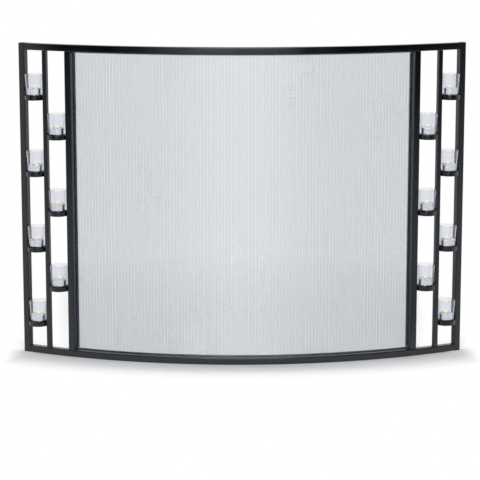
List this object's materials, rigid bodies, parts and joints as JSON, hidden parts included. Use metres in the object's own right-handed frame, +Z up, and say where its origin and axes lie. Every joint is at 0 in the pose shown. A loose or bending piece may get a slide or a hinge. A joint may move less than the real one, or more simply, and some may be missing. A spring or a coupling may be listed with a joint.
{
  "type": "fireplace screen",
  "caption": "Bowed free-standing fireplace screen: square steel tube frame, woven wire mesh in the middle, and side panels of round holders with glass cups and tealights.",
  "frame": {"origin": "on the floor, under the middle of the bounding box", "axes": "+X to the right seen from the front, +Y to the back (the bow faces -Y), +Z up"},
  "size_m": [1.1664, 0.1641, 0.826],
  "materials": {
    "frame_paint": "satin charcoal-black paint on steel",
    "mesh_wire": "bare woven steel wire, slightly cool",
    "end_plugs": "matte black plastic",
    "clear_glass": "clear pressed glass, slightly cool",
    "tealight_wax": "white wax in a thin aluminium cup, with a cotton wick"
  },
  "bodies": {
    "frame": {"bottom_rail": "frame_paint", "top_rail": "frame_paint", "end_post_left": "frame_paint", "end_cap_bottom_left": "end_plugs", "end_cap_top_left": "end_plugs", "slim_bar_left": "frame_paint", "inner_post_left": "frame_paint", "end_post_right": "frame_paint", "end_cap_bottom_right": "end_plugs", "end_cap_top_right": "end_plugs", "slim_bar_right": "frame_paint", "inner_post_right": "frame_paint", "wire_mesh": "mesh_wire", "retaining_strip_bottom": "frame_paint", "retaining_strip_top": "frame_paint", "retaining_strip_left": "frame_paint", "retaining_strip_right": "frame_paint", "candle_holder_left_1": "frame_paint", "candle_holder_left_2": "frame_paint", "candle_holder_left_3": "frame_paint", "candle_holder_left_4": "frame_paint", "candle_holder_left_5": "frame_paint", "candle_holder_left_6": "frame_paint", "candle_holder_left_7": "frame_paint", "candle_holder_right_1": "frame_paint", "candle_holder_right_2": "frame_paint", "candle_holder_right_3": "frame_paint", "candle_holder_right_4": "frame_paint", "candle_holder_right_5": "frame_paint", "candle_holder_right_6": "frame_paint", "candle_holder_right_7": "frame_paint"},
    "glass_left_1": {"glass_cup_left_1": "clear_glass"},
    "tealight_left_1": {"tealight_left_1": "tealight_wax"},
    "glass_left_2": {"glass_cup_left_2": "clear_glass"},
    "tealight_left_2": {"tealight_left_2": "tealight_wax"},
    "glass_left_3": {"glass_cup_left_3": "clear_glass"},
    "tealight_left_3": {"tealight_left_3": "tealight_wax"},
    "glass_left_4": {"glass_cup_left_4": "clear_glass"},
    "tealight_left_4": {"tealight_left_4": "tealight_wax"},
    "glass_left_5": {"glass_cup_left_5": "clear_glass"},
    "tealight_left_5": {"tealight_left_5": "tealight_wax"},
    "glass_left_6": {"glass_cup_left_6": "clear_glass"},
    "tealight_left_6": {"tealight_left_6": "tealight_wax"},
    "glass_left_7": {"glass_cup_left_7": "clear_glass"},
    "tealight_left_7": {"tealight_left_7": "tealight_wax"},
    "glass_right_1": {"glass_cup_right_1": "clear_glass"},
    "tealight_right_1": {"tealight_right_1": "tealight_wax"},
    "glass_right_2": {"glass_cup_right_2": "clear_glass"},
    "tealight_right_2": {"tealight_right_2": "tealight_wax"},
    "glass_right_3": {"glass_cup_right_3": "clear_glass"},
    "tealight_right_3": {"tealight_right_3": "tealight_wax"},
    "glass_right_4": {"glass_cup_right_4": "clear_glass"},
    "tealight_right_4": {"tealight_right_4": "tealight_wax"},
    "glass_right_5": {"glass_cup_right_5": "clear_glass"},
    "tealight_right_5": {"tealight_right_5": "tealight_wax"},
    "glass_right_6": {"glass_cup_right_6": "clear_glass"},
    "tealight_right_6": {"tealight_right_6": "tealight_wax"},
    "glass_right_7": {"glass_cup_right_7": "clear_glass"},
    "tealight_right_7": {"tealight_right_7": "tealight_wax"}
  },
  "joints": [
    {"name": "glass_left_1_lift", "type": "slide", "parent": "frame", "child": "glass_left_1", "axis": [0, 0, 1], "range_m": [0, 0.03]},
    {"name": "tealight_left_1_lift", "type": "slide", "parent": "glass_left_1", "child": "tealight_left_1", "axis": [0, 0, 1], "range_m": [0, 0.056]},
    {"name": "glass_left_2_lift", "type": "slide", "parent": "frame", "child": "glass_left_2", "axis": [0, 0, 1], "range_m": [0, 0.03]},
    {"name": "tealight_left_2_lift", "type": "slide", "parent": "glass_left_2", "child": "tealight_left_2", "axis": [0, 0, 1], "range_m": [0, 0.056]},
    {"name": "glass_left_3_lift", "type": "slide", "parent": "frame", "child": "glass_left_3", "axis": [0, 0, 1], "range_m": [0, 0.03]},
    {"name": "tealight_left_3_lift", "type": "slide", "parent": "glass_left_3", "child": "tealight_left_3", "axis": [0, 0, 1], "range_m": [0, 0.056]},
    {"name": "glass_left_4_lift", "type": "slide", "parent": "frame", "child": "glass_left_4", "axis": [0, 0, 1], "range_m": [0, 0.03]},
    {"name": "tealight_left_4_lift", "type": "slide", "parent": "glass_left_4", "child": "tealight_left_4", "axis": [0, 0, 1], "range_m": [0, 0.056]},
    {"name": "glass_left_5_lift", "type": "slide", "parent": "frame", "child": "glass_left_5", "axis": [0, 0, 1], "range_m": [0, 0.03]},
    {"name": "tealight_left_5_lift", "type": "slide", "parent": "glass_left_5", "child": "tealight_left_5", "axis": [0, 0, 1], "range_m": [0, 0.056]},
    {"name": "glass_left_6_lift", "type": "slide", "parent": "frame", "child": "glass_left_6", "axis": [0, 0, 1], "range_m": [0, 0.03]},
    {"name": "tealight_left_6_lift", "type": "slide", "parent": "glass_left_6", "child": "tealight_left_6", "axis": [0, 0, 1], "range_m": [0, 0.056]},
    {"name": "glass_left_7_lift", "type": "slide", "parent": "frame", "child": "glass_left_7", "axis": [0, 0, 1], "range_m": [0, 0.03]},
    {"name": "tealight_left_7_lift", "type": "slide", "parent": "glass_left_7", "child": "tealight_left_7", "axis": [0, 0, 1], "range_m": [0, 0.056]},
    {"name": "glass_right_1_lift", "type": "slide", "parent": "frame", "child": "glass_right_1", "axis": [0, 0, 1], "range_m": [0, 0.03]},
    {"name": "tealight_right_1_lift", "type": "slide", "parent": "glass_right_1", "child": "tealight_right_1", "axis": [0, 0, 1], "range_m": [0, 0.056]},
    {"name": "glass_right_2_lift", "type": "slide", "parent": "frame", "child": "glass_right_2", "axis": [0, 0, 1], "range_m": [0, 0.03]},
    {"name": "tealight_right_2_lift", "type": "slide", "parent": "glass_right_2", "child": "tealight_right_2", "axis": [0, 0, 1], "range_m": [0, 0.056]},
    {"name": "glass_right_3_lift", "type": "slide", "parent": "frame", "child": "glass_right_3", "axis": [0, 0, 1], "range_m": [0, 0.03]},
    {"name": "tealight_right_3_lift", "type": "slide", "parent": "glass_right_3", "child": "tealight_right_3", "axis": [0, 0, 1], "range_m": [0, 0.056]},
    {"name": "glass_right_4_lift", "type": "slide", "parent": "frame", "child": "glass_right_4", "axis": [0, 0, 1], "range_m": [0, 0.03]},
    {"name": "tealight_right_4_lift", "type": "slide", "parent": "glass_right_4", "child": "tealight_right_4", "axis": [0, 0, 1], "range_m": [0, 0.056]},
    {"name": "glass_right_5_lift", "type": "slide", "parent": "frame", "child": "glass_right_5", "axis": [0, 0, 1], "range_m": [0, 0.03]},
    {"name": "tealight_right_5_lift", "type": "slide", "parent": "glass_right_5", "child": "tealight_right_5", "axis": [0, 0, 1], "range_m": [0, 0.056]},
    {"name": "glass_right_6_lift", "type": "slide", "parent": "frame", "child": "glass_right_6", "axis": [0, 0, 1], "range_m": [0, 0.03]},
    {"name": "tealight_right_6_lift", "type": "slide", "parent": "glass_right_6", "child": "tealight_right_6", "axis": [0, 0, 1], "range_m": [0, 0.056]},
    {"name": "glass_right_7_lift", "type": "slide", "parent": "frame", "child": "glass_right_7", "axis": [0, 0, 1], "range_m": [0, 0.03]},
    {"name": "tealight_right_7_lift", "type": "slide", "parent": "glass_right_7", "child": "tealight_right_7", "axis": [0, 0, 1], "range_m": [0, 0.056]}
  ]
}
